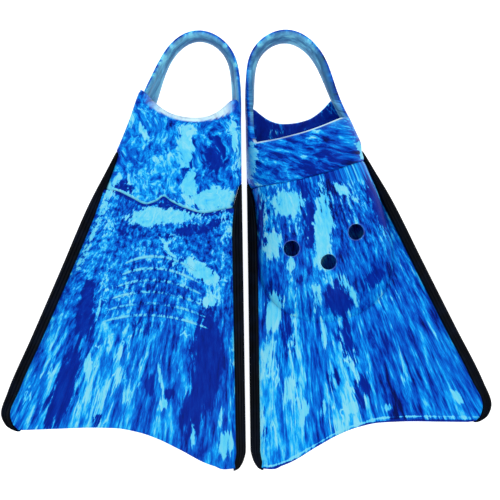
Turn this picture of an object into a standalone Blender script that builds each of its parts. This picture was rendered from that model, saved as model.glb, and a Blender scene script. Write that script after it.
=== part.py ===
"""A pair of moulded rubber swim fins, lying side by side on a flat surface.

Both fins are the same design. The right one lies instep up and the left one lies sole up.
Each is modelled in its own fin frame, instep up: the straight side is near x = 0 and the flared
side is at +x, the heel points to +y, the blade tip to -y, and the sole lies on z = 0.
Metres, +Z up. The origin is the middle of the pair's footprint, on the surface it lies on.
"""
import math

import bmesh
import bpy
import numpy as np
from mathutils import Matrix, Vector

# ---------------------------------------------------------------- driving dimensions
HALF_LENGTH = 0.210          # heel strap and blade tip are each this far from the middle
STRAIGHT_EDGE_X = 0.0022     # straight side of a fin, from the pair's middle plane
FLARE_X = 0.238              # widest point of the blade
JOINT_GAP = 0.0003           # left between pieces that touch
SEAM_GAP = 0.0009            # between the instep collar and the toe box
BASE_GAP = 0.0007            # under the pocket's walls, which stand on the curved sole
CORNER_GAP = 0.0010          # more of it round the blade's corners
WALL_INSET = 0.0004          # the pocket's walls stand this far inside the sole's edge
SOLE_INSET = 0.0004          # the sole's edge stands this far inside the fin's outline
NOTCH_START = 0.007          # the notch for a rail runs this far past the rail's start,
NOTCH_END = 0.014            # and has closed again by here

PANEL_THICK = 0.006          # blade panel at the bend line
PANEL_TIP_THICK = 0.0038     # blade panel at its trailing edge
PANEL_EDGE_THICK = 0.0008    # at the very end of the panel's round root
PANEL_LEFT_TIP_Y = -0.2062   # where the trailing edge meets the inner rail
PANEL_RIGHT_TIP_Y = -0.1640  # and the outer rail
MID_Z = 0.009                # middle of the blade panel and of the rails

RAIL_HALF_HEIGHT = 0.009     # rails beside the foot pocket
RAIL_TIP_HALF_HEIGHT = 0.0062
INNER_RAIL_WIDTH = 0.0098
OUTER_RAIL_WIDTH = 0.0108
RAIL_CLEARANCE = 0.0005      # round end of a tip rail in its seat
OUTER_RAIL_START = 0.101     # rear end of each rail
INNER_RAIL_START = 0.070
OUTER_RAIL_END = -0.1645     # and its end at the blade's corner
INNER_RAIL_END = -0.2080
BEND_Y = -0.070              # line where the blade bends

SOLE_THICK = 0.006           # under the heel and the arch
POCKET_TOP_Z = 0.062         # highest point of the instep
POCKET_WALL = 0.0052
WALL_REACH_LOW_Z = 0.012     # below this the collar's walls run back to the strap's hinge line,
WALL_REACH_HIGH_Z = 0.046    # and above this they end at the instep rim
TOE_WALL = 0.0045
ARCH_POWER = 2.5             # 2 is an ellipse, more is squarer
ARCH_POINTS = 23             # points across the pocket's vault

STRAP_HINGE = (0.135, 0.034)  # y and z of the line that the strap swings about
STRAP_ROOT_RADIUS = 0.017     # round end of the strap at each root
STRAP_TIP_HALF_HEIGHT = 0.0009
STRAP_HALF_HEIGHT = 0.0135    # half of the band's width behind the heel
STRAP_THICK = 0.0050
# middle of the band in plan, from its root on the straight side round the heel to the other root
STRAP_ROUTE = [(0.0045, 0.1190), (0.0045, 0.150), (0.0078, 0.1815), (0.0175, 0.1975), (0.0400, 0.2075),
               (0.0650, 0.1970), (0.0795, 0.1720), (0.0904, 0.1500), (0.1045, 0.1200)]
# section of the band, in shares of its thickness (outwards) and of its half height
STRAP_PROFILE = [(0.5, -0.86), (0.5, 0.86), (0.38, 1.0), (-0.2, 1.0), (-0.42, 0.75),
                 (-0.5, 0.0), (-0.42, -0.75), (-0.2, -1.0), (0.38, -1.0)]

DRAIN_RADIUS = 0.0073
DRAIN_CENTRES = [(0.0434, 0.0066), (0.0780, -0.0064), (0.1033, 0.0213)]

SOLE_UP_TILT = math.radians(8.5)   # the sole-up fin rests on its instep and its blade tip
SOLE_UP_LIFT = 0.0464              # height of its fin frame above the surface
SOLE_UP_SHIFT = -0.00405           # along y, after the tilt
INSTEP_UP_SHIFT = -0.0002          # along y

COLOURS = {
    "pocket_rubber": (0.10, 0.42, 0.75, 1.0),
    "sole_rubber": (0.07, 0.30, 0.68, 1.0),
    "blade_rubber": (0.03, 0.14, 0.55, 1.0),
    "rail_rubber": (0.012, 0.012, 0.014, 1.0),
}


# ---------------------------------------------------------------- outlines
def through(*pairs):
    """Smooth function through (input, value) pairs in rising order of input, with no overshoot."""
    keys = np.array([pair[0] for pair in pairs])
    values = np.array([pair[1] for pair in pairs])
    rises = np.diff(values) / np.diff(keys)
    slopes = np.concatenate(([rises[0]], np.zeros(len(keys) - 2), [rises[-1]]))
    for k in range(1, len(keys) - 1):
        before, after = rises[k - 1], rises[k]
        if before * after > 0.0:
            slopes[k] = 2 * before * after / (before + after)

    def value(at):
        at = min(max(at, keys[0]), keys[-1])
        i = min(int(np.searchsorted(keys, at, side="right")) - 1, len(keys) - 2)
        span = keys[i + 1] - keys[i]
        t = (at - keys[i]) / span
        start, end = values[i], values[i + 1]
        rise, fall = slopes[i] * span, slopes[i + 1] * span
        return float(
            (2 * t**3 - 3 * t**2 + 1) * start + (t**3 - 2 * t**2 + t) * rise
            + (3 * t**2 - 2 * t**3) * end + (t**3 - t**2) * fall
        )

    return value


def smoothstep(low, high, at):
    t = min(max((at - low) / (high - low), 0.0), 1.0)
    return t * t * (3 - 2 * t)


def mix(a, b, t):
    return a + (b - a) * t


# flared side of the fin as x over y, from the blade corner to the heel strap
flared_edge = through(
    (-0.166, 0.2185), (-0.1635, 0.2275), (-0.1585, 0.2345), (-0.148, FLARE_X), (-0.126, 0.2303),
    (-0.072, 0.2036), (-0.004, 0.1706), (0.051, 0.1441), (0.101, 0.1161), (0.129, 0.1031),
    (0.154, 0.0930), (0.173, 0.0820),
)

# straight side as x over y, round at the blade corner
straight_edge = through(
    (-0.2095, 0.0150), (-0.2062, 0.0088), (-0.1986, 0.0044), (-0.188, STRAIGHT_EDGE_X),
    (-0.150, STRAIGHT_EDGE_X), (0.070, STRAIGHT_EDGE_X), (0.129, 0.0018), (0.160, 0.0018),
)

# trailing edge of the blade as y over x
trailing_edge = through(
    (0.0088, -0.2062), (0.0137, -0.2092), (0.0216, -HALF_LENGTH), (0.0368, -0.2060), (0.052, -0.1990),
    (0.072, -0.1878), (0.0911, -0.1776), (0.1107, -0.1702), (0.1343, -0.1656), (0.160, -0.1648),
    (0.190, -0.1655), (0.2185, -0.1662),
)

outer_rail_width = through((-0.166, 0.0020), (-0.160, 0.0070), (-0.145, 0.0090), (-0.120, OUTER_RAIL_WIDTH),
                           (0.040, OUTER_RAIL_WIDTH), (0.080, 0.0065), (0.101, 0.0030))
inner_rail_width = through((-0.2095, 0.0010), (-0.200, 0.0085), (-0.180, INNER_RAIL_WIDTH),
                           (0.020, INNER_RAIL_WIDTH), (0.050, 0.0075), (0.070, 0.0020))
rail_half_height = through((-HALF_LENGTH, RAIL_TIP_HALF_HEIGHT), (-0.150, RAIL_TIP_HALF_HEIGHT + 0.0006),
                           (BEND_Y, RAIL_HALF_HEIGHT), (0.060, RAIL_HALF_HEIGHT), (0.101, 0.0070))

panel_half_thick = through((-HALF_LENGTH, PANEL_TIP_THICK / 2), (BEND_Y, PANEL_THICK / 2),
                           (0.0, PANEL_THICK / 2))
sole_low_z = through((-0.070, MID_Z - PANEL_THICK / 2), (0.0, MID_Z - PANEL_THICK / 2), (0.030, 0.0048),
                     (0.060, 0.0022), (0.085, 0.0004), (0.110, 0.0), (0.160, 0.0))
sole_high_z = through((-0.070, MID_Z + PANEL_THICK / 2), (0.0, MID_Z + PANEL_THICK / 2), (0.030, 0.0110),
                      (0.060, 0.0088), (0.085, 0.0068), (0.110, SOLE_THICK), (0.160, SOLE_THICK))


def plate_left(y):
    """Edge of the sole and the blade panel on the straight side, beside the inner rail."""
    beside_rail = smoothstep(INNER_RAIL_START + NOTCH_END, INNER_RAIL_START + NOTCH_START, y)
    corner_room = CORNER_GAP * smoothstep(-0.185, -0.200, y)
    return straight_edge(y) + mix(SOLE_INSET, inner_rail_width(y) + JOINT_GAP, beside_rail) + corner_room


def plate_right(y):
    """Edge of the sole and the blade panel on the flared side, beside the outer rail."""
    beside_rail = smoothstep(OUTER_RAIL_START + NOTCH_END, OUTER_RAIL_START + NOTCH_START, y)
    corner_room = CORNER_GAP * smoothstep(-0.140, -0.155, y)
    return flared_edge(y) - mix(SOLE_INSET, outer_rail_width(y) + JOINT_GAP, beside_rail) - corner_room


def heel_edge_y(x):
    """The open heel edge of the sole, a shallow U."""
    return 0.1285 + 8.0 * (x - 0.042) ** 2


def rim_y(x):
    """The instep rim, which runs further back on the flared side."""
    return 0.1038 + 2.8 * x * x


def seam_y(x):
    """The line where the instep collar meets the toe box."""
    return 0.064 + 1.9 * x * x


SOLE_SEAM_Y = 0.060

# the flared wall of the toe box as x over y, and the pocket's top as z over y
toe_box_right = through((-0.020, 0.1430), (0.002, 0.1450), (0.022, 0.1410), (0.057, 0.1320), (0.082, 0.1300))
pocket_top = through((-0.067, 0.0125), (-0.055, 0.0195), (-0.040, 0.0275), (-0.020, 0.0350), (0.0, 0.0412),
                     (0.030, 0.0485), (0.065, 0.0555), (0.108, POCKET_TOP_Z), (0.140, POCKET_TOP_Z))
TOE_BOX_FREE_Y = 0.070       # ahead of this the flared wall leaves the rail
NOSE_START_Y = -0.012
NOSE_Y = -0.0665
NOSE_X = 0.074
NOSE_INSET_SHARE = 1.25      # the wall is thicker where the nose slopes
LEAST_VAULT = 0.0018
NOSE_CLOSING = 0.0035        # the vault stops this far from the nose's very tip


def pocket_walls(y, inset):
    """Both walls of the pocket at y, inset from its outside. They close in a round nose."""
    wide_y = max(y, NOSE_START_Y)
    left = plate_left(wide_y) + WALL_INSET + inset
    right = plate_right(wide_y) - WALL_INSET
    if y < TOE_BOX_FREE_Y:
        right = min(right, toe_box_right(wide_y))
    right -= inset
    if y < NOSE_START_Y:
        run = (NOSE_START_Y - y) / (NOSE_START_Y - NOSE_Y - NOSE_INSET_SHARE * inset)
        width = math.sqrt(max(1.0 - run * run, 0.0))
        left = mix(NOSE_X, left, width)
        right = mix(NOSE_X, right, width)
    return left, right


def arch_point(angle, y, inset=0.0):
    """Point of the pocket's vault: angle 0 is the straight side's base, pi the flared side's."""
    left, right = pocket_walls(y, inset)
    base = sole_high_z(y) + BASE_GAP
    across = math.copysign(abs(math.cos(angle)) ** (2 / ARCH_POWER), math.cos(angle))
    up = abs(math.sin(angle)) ** (2 / ARCH_POWER)
    x = (left + right) / 2 - across * (right - left) / 2
    height = max(pocket_top(y) - NOSE_INSET_SHARE * inset - base, LEAST_VAULT)
    return Vector((x, y, base + up * height))


# ---------------------------------------------------------------- helpers
def clear_scene():
    for obj in list(bpy.data.objects):
        bpy.data.objects.remove(obj, do_unlink=True)


def new_collection(name):
    collection = bpy.data.collections.new(name)
    bpy.context.scene.collection.children.link(collection)
    return collection


def rubber(name):
    material = bpy.data.materials.new(name)
    material.use_nodes = True
    shader = material.node_tree.nodes["Principled BSDF"]
    shader.inputs["Base Color"].default_value = COLOURS[name]
    shader.inputs["Roughness"].default_value = 0.35
    shader.inputs["Metallic"].default_value = 0.0
    material.diffuse_color = COLOURS[name]
    return material


def empty_at(name, parent, location):
    empty = bpy.data.objects.new(name, None)
    empty.empty_display_size = 0.02
    empty.parent = parent
    empty.location = location
    PARTS.objects.link(empty)
    return empty


def mesh_object(name, bm, material, parent, collection=None):
    """Object from a bmesh given in the fin frame. Its origin is the parent's, so joints turn about it."""
    origin = parent.location if parent.parent else Vector((0.0, 0.0, 0.0))
    bmesh.ops.translate(bm, verts=bm.verts, vec=-Vector(origin))
    if all(edge.is_manifold for edge in bm.edges):
        bmesh.ops.recalc_face_normals(bm, faces=bm.faces)
    mesh = bpy.data.meshes.new(name)
    bm.to_mesh(mesh)
    bm.free()
    obj = bpy.data.objects.new(name, mesh)
    obj.parent = parent
    if material:
        mesh.materials.append(material)
    mesh.shade_smooth()
    mesh.set_sharp_from_angle(angle=math.radians(40))
    (collection or PARTS).objects.link(obj)
    return obj


def sheet(rows):
    """Open surface through equal rows of points, facing up where the rows run back to front."""
    bm = bmesh.new()
    grid = [[bm.verts.new(point) for point in row] for row in rows]
    for row, following in zip(grid, grid[1:]):
        for i in range(len(row) - 1):
            bm.faces.new((row[i], following[i], following[i + 1], row[i + 1]))
    return bm


def shell(outer_rows, inner_rows):
    """Closed wall between two open surfaces with equal rows of points."""
    bm = bmesh.new()
    outer = [[bm.verts.new(point) for point in row] for row in outer_rows]
    inner = [[bm.verts.new(point) for point in row] for row in inner_rows]
    for grid, flip in ((outer, False), (inner, True)):
        for row, following in zip(grid, grid[1:]):
            for i in range(len(row) - 1):
                face = (row[i], following[i], following[i + 1], row[i + 1])
                bm.faces.new(reversed(face) if flip else face)
    for k in (0, -1):
        for i in range(len(outer[0]) - 1):
            bm.faces.new((outer[k][i], outer[k][i + 1], inner[k][i + 1], inner[k][i]))
        for i in range(len(outer) - 1):
            bm.faces.new((outer[i][k], outer[i + 1][k], inner[i + 1][k], inner[i][k]))
    bmesh.ops.triangulate(bm, faces=bm.faces)
    return bm


def loft(sections):
    """Closed solid through closed sections of equal point counts."""
    bm = bmesh.new()
    rings = [[bm.verts.new(point) for point in section] for section in sections]
    for ring, following in zip(rings, rings[1:]):
        for i in range(len(ring)):
            k = (i + 1) % len(ring)
            bm.faces.new((ring[i], ring[k], following[k], following[i]))
    bm.faces.new(rings[0])
    bm.faces.new(reversed(rings[-1]))
    return bm


def slab(rows, low, high):
    """Plate whose plan is a grid of (x, y) rows, between the heights low(x, y) and high(x, y)."""
    sections = []
    for row in rows:
        top = [(x, y, high(x, y)) for x, y in row]
        bottom = [(x, y, low(x, y)) for x, y in reversed(row)]
        sections.append(top + bottom)
    return loft_with_flat_caps(sections)


def loft_with_flat_caps(sections):
    """Loft whose two end caps are strips of quads, for long flat sections."""
    bm = bmesh.new()
    rings = [[bm.verts.new(point) for point in section] for section in sections]
    count = len(rings[0])
    for ring, following in zip(rings, rings[1:]):
        for i in range(count):
            k = (i + 1) % count
            bm.faces.new((ring[i], ring[k], following[k], following[i]))
    for ring in (rings[0], rings[-1]):
        for i in range(count // 2 - 1):
            bm.faces.new((ring[i], ring[i + 1], ring[count - 2 - i], ring[count - 1 - i]))
    return bm


def solidify(obj, thickness):
    modifier = obj.modifiers.new("wall", "SOLIDIFY")
    modifier.thickness = thickness
    modifier.offset = -1.0
    modifier.use_even_offset = True
    modifier.thickness_clamp = 0.0


def cylinder_cutter(name, parent, centre, radius, depth, along_x):
    """Hidden cylinder in the fin frame, for a round seat (along x) or a drain hole (along z)."""
    bm = bmesh.new()
    turn = Matrix.Rotation(math.radians(90), 4, "Y") if along_x else Matrix.Identity(4)
    bmesh.ops.create_cone(bm, cap_ends=True, segments=40, radius1=radius, radius2=radius,
                          depth=depth, matrix=Matrix.Translation(centre) @ turn)
    cutter = mesh_object(name, bm, None, parent, CUTTERS)
    cutter.hide_render = True
    cutter.display_type = "WIRE"
    return cutter


def cut(obj, cutter):
    modifier = obj.modifiers.new(cutter.name, "BOOLEAN")
    modifier.operation = "DIFFERENCE"
    modifier.object = cutter


# ---------------------------------------------------------------- the pieces of one fin
def steps(start, end, count):
    return [mix(start, end, i / (count - 1)) for i in range(count)]


def make_sole(side, fin):
    """Heel sole behind the seam and toe sole in front of it, up to the bend line."""
    def rows(front, back, count):
        grid = []
        for i in range(count):
            row = []
            for u in steps(0.0, 1.0, 11):
                y = SOLE_SEAM_Y
                for _ in range(8):
                    x = mix(plate_left(y), plate_right(y), u)
                    y = mix(front(x), back(x), i / (count - 1))
                row.append((x, y))
            grid.append(row)
        return grid

    heel = slab(rows(lambda x: SOLE_SEAM_Y + JOINT_GAP, heel_edge_y, 12),
                lambda x, y: sole_low_z(y), lambda x, y: sole_high_z(y))
    mesh_object(f"{side}_heel_sole", heel, MATERIALS["sole_rubber"], fin)
    toe = slab(rows(lambda x: BEND_Y + PANEL_THICK / 2 + JOINT_GAP, lambda x: SOLE_SEAM_Y, 12),
               lambda x, y: sole_low_z(y), lambda x, y: sole_high_z(y))
    mesh_object(f"{side}_toe_sole", toe, MATERIALS["blade_rubber"], fin)


def make_instep_collar(side, fin):
    """Soft band over the instep. Its rear wall has the round seats of the strap's roots."""
    rows = []
    for v in steps(0.0, 1.0, 6):
        row = []
        for angle in steps(0.0, math.pi, ARCH_POINTS):
            y = 0.100
            for _ in range(8):
                point = arch_point(angle, y)
                low_wall = smoothstep(WALL_REACH_HIGH_Z, WALL_REACH_LOW_Z, point.z)
                y = mix(mix(rim_y(point.x), STRAP_HINGE[0], low_wall), seam_y(point.x), v)
            row.append(point)
        rows.append(row)
    collar = mesh_object(f"{side}_instep_collar", sheet(rows), MATERIALS["pocket_rubber"], fin)
    solidify(collar, POCKET_WALL)
    seat = cylinder_cutter(f"{side}_strap_seat", fin, (0.05, *STRAP_HINGE),
                           STRAP_ROOT_RADIUS + JOINT_GAP, 0.20, True)
    cut(collar, seat)


def make_toe_box(side, fin):
    """Vault over the toes, closed by a round nose, with three drain holes."""
    def rows(inset):
        grid = []
        front_y = NOSE_Y + NOSE_INSET_SHARE * inset + NOSE_CLOSING
        for v in steps(0.0, math.pi / 2, 13):
            row = []
            for angle in steps(0.0, math.pi, ARCH_POINTS):
                y = 0.0
                for _ in range(8):
                    point = arch_point(angle, y, inset)
                    y = mix(seam_y(point.x) - SEAM_GAP, front_y, math.sin(v))
                row.append(point)
            grid.append(row)
        return grid

    vault = shell(rows(0.0), rows(TOE_WALL))
    toe_box = mesh_object(f"{side}_toe_box", vault, MATERIALS["pocket_rubber"], fin)
    for number, (x, y) in enumerate(DRAIN_CENTRES, start=1):
        drain = cylinder_cutter(f"{side}_drain_{number}", fin, (x, y, 0.04), DRAIN_RADIUS, 0.05, False)
        cut(toe_box, drain)


def strap_half_height(y):
    """Half of the strap's width: a round end ahead of the hinge line, a taper behind it."""
    ahead = STRAP_HINGE[0] - y
    if ahead > 0.0:
        return math.sqrt(max(STRAP_ROOT_RADIUS**2 - ahead**2, STRAP_TIP_HALF_HEIGHT**2))
    return mix(STRAP_ROOT_RADIUS, STRAP_HALF_HEIGHT, smoothstep(0.0, 0.045, -ahead))


def make_heel_strap(side, fin):
    """Band round the heel: round at both roots, widest there, crowned on the inside."""
    hinge = empty_at(f"{side}_strap_hinge", fin, (0.045, *STRAP_HINGE))
    along = [0.0]
    for (x0, y0), (x1, y1) in zip(STRAP_ROUTE, STRAP_ROUTE[1:]):
        along.append(along[-1] + math.hypot(x1 - x0, y1 - y0))
    route_x = through(*[(s, x) for s, (x, y) in zip(along, STRAP_ROUTE)])
    route_y = through(*[(s, y) for s, (x, y) in zip(along, STRAP_ROUTE)])

    sections = []
    for s in steps(0.0, along[-1], 35):
        here = Vector((route_x(s), route_y(s)))
        ahead = Vector((route_x(s + 0.001), route_y(s + 0.001)))
        behind = Vector((route_x(s - 0.001), route_y(s - 0.001)))
        direction = (ahead - behind).normalized()
        outward = Vector((-direction.y, direction.x))
        section = []
        for out, up in STRAP_PROFILE:
            plan = here + outward * out * STRAP_THICK
            section.append((plan.x, plan.y, STRAP_HINGE[1] + up * strap_half_height(plan.y)))
        sections.append(section)
    mesh_object(f"{side}_heel_strap", loft(sections), MATERIALS["pocket_rubber"], hinge)


def make_blade_panel(side, fin, bend):
    """Flexing panel between the rails, thinner at its trailing edge, round at the bend line."""
    half_root = PANEL_THICK / 2
    left_end = plate_left(PANEL_LEFT_TIP_Y) + CORNER_GAP
    right_end = plate_right(PANEL_RIGHT_TIP_Y)

    def half_thick(y):
        if y > BEND_Y:
            return math.sqrt(max(half_root**2 - (y - BEND_Y) ** 2, (PANEL_EDGE_THICK / 2) ** 2))
        return panel_half_thick(y)

    rows = []
    root_rows = [BEND_Y + half_root * math.sin(math.radians(a)) for a in (84, 60, 30)]
    for y in root_rows:
        rows.append([(mix(plate_left(y), plate_right(y), u), y) for u in steps(0.0, 1.0, 19)])
    for v in steps(0.0, 1.0, 12):
        row = []
        for u in steps(0.0, 1.0, 19):
            end_x = mix(left_end, right_end, u)
            y = mix(BEND_Y, trailing_edge(end_x), math.sin(v * math.pi / 2))
            row.append((mix(plate_left(y), plate_right(y), u), y))
        rows.append(row)
    panel = slab(rows, lambda x, y: MID_Z - half_thick(y), lambda x, y: MID_Z + half_thick(y))
    mesh_object(f"{side}_blade_panel", panel, MATERIALS["blade_rubber"], bend)


def rail_section(left, right, y, half_height):
    """Rounded rectangle across a rail."""
    round_off = min(0.0022, (right - left) * 0.3, half_height * 0.4)
    section = []
    for corner_x, corner_z, start in ((right, 1, 0), (left, 1, 90), (left, -1, 180), (right, -1, 270)):
        centre_x = corner_x + (round_off if corner_x == left else -round_off)
        for degrees in (0, 45, 90):
            turn = math.radians(start + degrees)
            section.append((centre_x + round_off * math.cos(turn), y,
                            MID_Z + corner_z * (half_height - round_off) + round_off * math.sin(turn)))
    return section


def make_rail(side, name, fin, bend, start_y, end_y, walls):
    """One side rail, cut at the bend line: a root piece on the pocket and a tip piece on the blade."""
    seat_radius = RAIL_HALF_HEIGHT + RAIL_CLEARANCE
    root = [rail_section(*walls(y), y, rail_half_height(y)) for y in steps(start_y, BEND_Y, 11)]
    root_rail = mesh_object(f"{side}_{name}_rail_root", loft(root), MATERIALS["rail_rubber"], fin)
    seat = cylinder_cutter(f"{side}_{name}_rail_seat", fin, (walls(BEND_Y)[0], BEND_Y, MID_Z),
                           seat_radius, 0.06, True)
    cut(root_rail, seat)

    tip = []
    for degrees in (84, 66, 48, 30, 15):
        y = BEND_Y + RAIL_HALF_HEIGHT * math.sin(math.radians(degrees))
        tip.append(rail_section(*walls(y), y, RAIL_HALF_HEIGHT * math.cos(math.radians(degrees))))
    for v in steps(0.0, 1.0, 13):
        y = mix(BEND_Y, end_y, math.sin(v * math.pi / 2))
        tip.append(rail_section(*walls(y), y, rail_half_height(y)))
    mesh_object(f"{side}_{name}_rail_tip", loft(tip), MATERIALS["rail_rubber"], bend)


def outer_rail_walls(y):
    return flared_edge(y) - outer_rail_width(y), flared_edge(y)


def inner_rail_walls(y):
    return straight_edge(y), straight_edge(y) + inner_rail_width(y)


def make_fin(side, placement):
    fin = empty_at(f"{side}_fin", None, (0.0, 0.0, 0.0))
    fin.matrix_world = placement
    bend = empty_at(f"{side}_blade_bend", fin, (0.1, BEND_Y, MID_Z))
    make_sole(side, fin)
    make_instep_collar(side, fin)
    make_toe_box(side, fin)
    make_heel_strap(side, fin)
    make_blade_panel(side, fin, bend)
    make_rail(side, "outer", fin, bend, OUTER_RAIL_START, OUTER_RAIL_END, outer_rail_walls)
    make_rail(side, "inner", fin, bend, INNER_RAIL_START, INNER_RAIL_END, inner_rail_walls)


# ---------------------------------------------------------------- the pair
clear_scene()
PARTS = new_collection("swim_fin_pair")
CUTTERS = new_collection("cutters")
MATERIALS = {name: rubber(name) for name in COLOURS}

make_fin("right", Matrix.Translation((0.0, INSTEP_UP_SHIFT, 0.0)))
sole_up = (Matrix.Translation((0.0, SOLE_UP_SHIFT, SOLE_UP_LIFT))
           @ Matrix.Rotation(SOLE_UP_TILT, 4, "X") @ Matrix.Rotation(math.pi, 4, "Y"))
make_fin("left", sole_up)
bpy.context.view_layer.update()
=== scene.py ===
"""Looks of a pair of marbled rubber swim fins, one lying sole up and one instep up.

Every shape is worked out in a fin frame, in metres, that both fins share: the straight side is
near x = 0, the flared side is at +x, the heel points to +y and the sole lies on z = 0. A placement
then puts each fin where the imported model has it.
"""
import math

import bmesh
import bpy
import numpy as np
from mathutils import Matrix, Vector, noise

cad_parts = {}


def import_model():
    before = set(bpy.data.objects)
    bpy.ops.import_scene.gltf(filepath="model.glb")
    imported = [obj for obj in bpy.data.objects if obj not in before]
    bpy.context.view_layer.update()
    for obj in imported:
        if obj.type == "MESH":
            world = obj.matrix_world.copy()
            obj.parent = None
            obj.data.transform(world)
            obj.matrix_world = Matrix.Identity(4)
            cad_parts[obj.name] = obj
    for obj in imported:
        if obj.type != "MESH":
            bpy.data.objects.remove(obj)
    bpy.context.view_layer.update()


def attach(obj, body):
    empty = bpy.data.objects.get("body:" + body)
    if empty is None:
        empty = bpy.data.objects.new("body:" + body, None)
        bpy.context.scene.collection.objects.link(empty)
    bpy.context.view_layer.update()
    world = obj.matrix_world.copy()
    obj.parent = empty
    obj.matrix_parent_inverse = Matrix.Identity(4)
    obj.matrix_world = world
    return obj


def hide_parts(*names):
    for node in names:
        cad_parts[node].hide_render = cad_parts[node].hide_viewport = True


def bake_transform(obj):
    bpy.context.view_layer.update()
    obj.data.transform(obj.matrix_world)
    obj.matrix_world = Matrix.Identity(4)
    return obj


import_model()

# ---------------------------------------------------------------- sizes, in the fin frame
HALF_LENGTH = 0.210
STRAIGHT_EDGE_X = 0.0022
FLARE_X = 0.238              # the blade's flared corner
PANEL_THICK = 0.006          # the blade at its root
PANEL_TIP_THICK = 0.0038     # and at its trailing edge
MID_Z = 0.009                # height of the middle of the blade and rails
RAIL_HALF_HEIGHT = 0.009
RAIL_TIP_HALF_HEIGHT = 0.0062
INNER_RAIL_WIDTH = 0.0098    # the rail on the straight side
OUTER_RAIL_WIDTH = 0.0108    # the rail on the flared side
BEND_Y = -0.070              # line where the blade starts and bends
SOLE_THICK = 0.006
POCKET_TOP_Z = 0.062
POCKET_WALL = 0.0050
TOE_WALL = 0.0045
ARCH_POWER = 2.5             # power of the superellipse that the pocket's vault follows
STRAIGHT_RIM_POWER = 5.0     # the vault gets squarer towards the rim, most of all on the straight side
FLARED_RIM_POWER = 3.0
STRAP_HINGE_Z = 0.034
STRAP_HALF_HEIGHT = 0.0135
STRAP_CROWN = 0.0036         # how far the strap's inner face swells
SEAM_STEP = 0.0004           # the collar stands this proud of the toe box
HEEL_STEP = 0.0016           # and the heel sole of the toe sole
OUTER_RAIL_START, OUTER_RAIL_END = 0.101, -0.1648
INNER_RAIL_START, INNER_RAIL_END = 0.070, -0.2085
DRAIN_RADIUS = 0.0075
DRAIN_CENTRES = [(0.0434, 0.0066), (0.0780, -0.0064), (0.1033, 0.0213)]
NOSE_START_Y = -0.012        # the pocket's walls close in a round nose from here
NOSE_Y = -0.0665             # to here
NOSE_X = 0.074
BASE_LAP = 0.0002            # the vault starts this deep in the sole
WALL_GAP = 0.0003            # and stands this far in from the sole's sides
TOP_INSET = 1.25             # the vault's top is inset this much more than its walls
HEEL_EDGE_Y = 0.1305
TOE_BOX_FREE_Y = 0.070       # nearer the toes than this, the vault's flared wall leaves the sole's edge

SOLE_UP_TILT = math.radians(8.5)
PLACEMENTS = {
    "right": Matrix.Translation((0.0, -0.0002, 0.0)),
    "left": (Matrix.Translation((0.0, -0.00405, 0.0464))
             @ Matrix.Rotation(SOLE_UP_TILT, 4, "X") @ Matrix.Rotation(math.pi, 4, "Y")),
}


# ---------------------------------------------------------------- outlines
def through(*pairs):
    """Smooth function through (input, value) pairs in rising order of input, with no overshoot."""
    keys = np.array([pair[0] for pair in pairs])
    values = np.array([pair[1] for pair in pairs])
    rises = np.diff(values) / np.diff(keys)
    slopes = np.concatenate(([rises[0]], np.zeros(len(keys) - 2), [rises[-1]]))
    for k in range(1, len(keys) - 1):
        before, after = rises[k - 1], rises[k]
        if before * after > 0.0:
            slopes[k] = 2 * before * after / (before + after)

    def value(at):
        at = np.clip(np.asarray(at, float), keys[0], keys[-1])
        i = np.clip(np.searchsorted(keys, at, side="right") - 1, 0, len(keys) - 2)
        span = keys[i + 1] - keys[i]
        t = (at - keys[i]) / span
        result = ((2 * t**3 - 3 * t**2 + 1) * values[i] + (t**3 - 2 * t**2 + t) * slopes[i] * span
                  + (3 * t**2 - 2 * t**3) * values[i + 1] + (t**3 - t**2) * slopes[i + 1] * span)
        return result if result.ndim else float(result)

    return value


def smoothstep(low, high, at):
    t = np.clip((np.asarray(at, float) - low) / (high - low), 0.0, 1.0)
    result = t * t * (3 - 2 * t)
    return result if result.ndim else float(result)


def mix(a, b, t):
    return a + (b - a) * t


def steps(start, end, count):
    return [mix(start, end, i / (count - 1)) for i in range(count)]


flared_edge = through(
    (-0.166, 0.2185), (-0.1635, 0.2275), (-0.1585, 0.2345), (-0.148, FLARE_X), (-0.126, 0.2303),
    (-0.072, 0.2036), (-0.004, 0.1706), (0.051, 0.1441), (0.101, 0.1161), (0.129, 0.1031),
    (0.154, 0.0930), (0.173, 0.0820),
)
straight_edge = through(
    (-0.2095, 0.0150), (-0.2062, 0.0088), (-0.1986, 0.0044), (-0.188, STRAIGHT_EDGE_X),
    (-0.150, STRAIGHT_EDGE_X), (0.070, STRAIGHT_EDGE_X), (0.129, 0.0018), (0.160, 0.0018),
)
trailing_edge = through(
    (0.0088, -0.2062), (0.0137, -0.2092), (0.0216, -HALF_LENGTH), (0.0368, -0.2060), (0.052, -0.1990),
    (0.072, -0.1878), (0.0911, -0.1776), (0.1107, -0.1702), (0.1343, -0.1656), (0.160, -0.1648),
    (0.190, -0.1655), (0.2185, -0.1662),
)
outer_rail_width = through(
    (-0.166, 0.0020), (-0.160, 0.0070), (-0.145, 0.0090), (-0.120, OUTER_RAIL_WIDTH),
    (0.040, OUTER_RAIL_WIDTH), (0.080, 0.0065), (OUTER_RAIL_START, 0.0030),
)
inner_rail_width = through(
    (-0.2095, 0.0010), (-0.200, 0.0085), (-0.180, INNER_RAIL_WIDTH), (0.020, INNER_RAIL_WIDTH),
    (0.050, 0.0075), (INNER_RAIL_START, 0.0020),
)
rail_half_height = through(
    (-HALF_LENGTH, RAIL_TIP_HALF_HEIGHT), (-0.150, RAIL_TIP_HALF_HEIGHT + 0.0006),
    (BEND_Y, RAIL_HALF_HEIGHT), (0.060, RAIL_HALF_HEIGHT), (OUTER_RAIL_START, 0.0070),
)
panel_half_thick = through(
    (-HALF_LENGTH, PANEL_TIP_THICK / 2), (BEND_Y, PANEL_THICK / 2), (0.0, PANEL_THICK / 2),
)
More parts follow.
